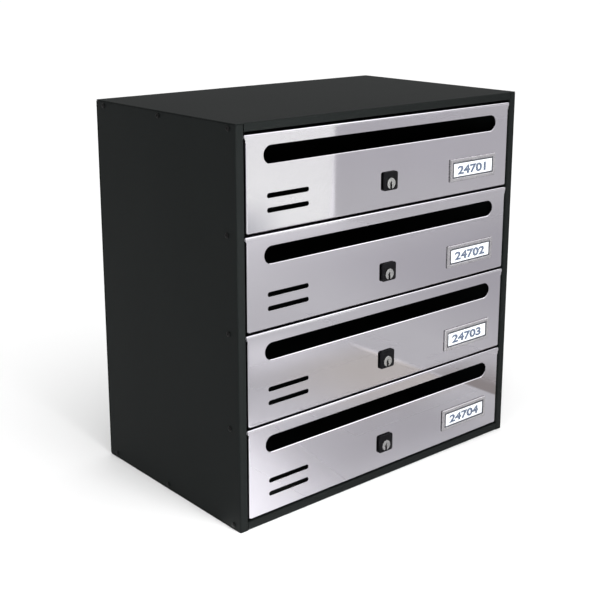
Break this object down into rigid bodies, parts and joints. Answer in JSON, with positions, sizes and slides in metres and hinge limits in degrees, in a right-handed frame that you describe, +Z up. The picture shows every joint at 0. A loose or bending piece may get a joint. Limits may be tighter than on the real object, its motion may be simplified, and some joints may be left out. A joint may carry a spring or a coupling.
{
  "type": "cluster mailbox unit",
  "caption": "Compact mailbox cabinet: stacked letterboxes with top-hinged slotted doors, cam locks and name plates in a sheet-metal casing.",
  "frame": {"origin": "middle of the casing's underside", "axes": "+Z up, -Y to the front, where the doors are, +X to the right"},
  "size_m": [0.393, 0.2431, 0.4],
  "materials": {
    "powder_coat": "fine-textured anthracite powder coat",
    "door_steel": "stainless sheet with a satin, softly reflecting surface",
    "plain_steel": "zinc-plated steel",
    "black_plastic": "moulded black plastic",
    "chrome": "bright plated",
    "frame_metal": "satin with bevelled edges",
    "card": "white card with a printed number",
    "screw_black": "black"
  },
  "bodies": {
    "cabinet": {"side_panel_left": "powder_coat", "side_panel_right": "powder_coat", "top_panel": "powder_coat", "bottom_panel": "powder_coat", "back_panel": "powder_coat", "shelf_1": "powder_coat", "shelf_2": "powder_coat", "shelf_3": "powder_coat", "hinge_rod_1": "plain_steel", "hinge_rod_2": "plain_steel", "hinge_rod_3": "plain_steel", "hinge_rod_4": "plain_steel", "casing_screw_left_1": "screw_black", "casing_screw_left_2": "screw_black", "casing_screw_left_3": "screw_black", "casing_screw_left_4": "screw_black", "casing_screw_left_5": "screw_black", "casing_screw_left_6": "screw_black", "casing_screw_left_7": "screw_black", "casing_screw_left_8": "screw_black", "casing_screw_left_9": "screw_black", "casing_screw_right_1": "screw_black", "casing_screw_right_2": "screw_black", "casing_screw_right_3": "screw_black", "casing_screw_right_4": "screw_black", "casing_screw_right_5": "screw_black", "casing_screw_right_6": "screw_black", "casing_screw_right_7": "screw_black", "casing_screw_right_8": "screw_black", "casing_screw_right_9": "screw_black"},
    "door_1": {"door_1": "door_steel", "name_frame_1": "frame_metal", "name_card_1": "card", "lock_housing_1": "black_plastic", "lock_clip_1": "plain_steel"},
    "door_2": {"door_2": "door_steel", "name_frame_2": "frame_metal", "name_card_2": "card", "lock_housing_2": "black_plastic", "lock_clip_2": "plain_steel"},
    "door_3": {"door_3": "door_steel", "name_frame_3": "frame_metal", "name_card_3": "card", "lock_housing_3": "black_plastic", "lock_clip_3": "plain_steel"},
    "door_4": {"door_4": "door_steel", "name_frame_4": "frame_metal", "name_card_4": "card", "lock_housing_4": "black_plastic", "lock_clip_4": "plain_steel"},
    "lock_1": {"lock_plug_1": "chrome", "lock_cam_1": "plain_steel"},
    "lock_2": {"lock_plug_2": "chrome", "lock_cam_2": "plain_steel"},
    "lock_3": {"lock_plug_3": "chrome", "lock_cam_3": "plain_steel"},
    "lock_4": {"lock_plug_4": "chrome", "lock_cam_4": "plain_steel"}
  },
  "joints": [
    {"name": "door_1_hinge", "type": "hinge", "parent": "cabinet", "child": "door_1", "pos_m": [0, -0.11705, 0.38685], "axis": [-1, 0, 0], "range_deg": [0, 110]},
    {"name": "door_2_hinge", "type": "hinge", "parent": "cabinet", "child": "door_2", "pos_m": [0, -0.11705, 0.29155], "axis": [-1, 0, 0], "range_deg": [0, 110]},
    {"name": "door_3_hinge", "type": "hinge", "parent": "cabinet", "child": "door_3", "pos_m": [0, -0.11705, 0.19625], "axis": [-1, 0, 0], "range_deg": [0, 110]},
    {"name": "door_4_hinge", "type": "hinge", "parent": "cabinet", "child": "door_4", "pos_m": [0, -0.11705, 0.10095], "axis": [-1, 0, 0], "range_deg": [0, 110]},
    {"name": "lock_1_turn", "type": "hinge", "parent": "door_1", "child": "lock_1", "pos_m": [0, -0.1197, 0.3218], "axis": [0, 1, 0], "range_deg": [0, 90]},
    {"name": "lock_2_turn", "type": "hinge", "parent": "door_2", "child": "lock_2", "pos_m": [0, -0.1197, 0.2265], "axis": [0, 1, 0], "range_deg": [0, 90]},
    {"name": "lock_3_turn", "type": "hinge", "parent": "door_3", "child": "lock_3", "pos_m": [0, -0.1197, 0.1312], "axis": [0, 1, 0], "range_deg": [0, 90]},
    {"name": "lock_4_turn", "type": "hinge", "parent": "door_4", "child": "lock_4", "pos_m": [0, -0.1197, 0.0359], "axis": [0, 1, 0], "range_deg": [0, 90]}
  ]
}
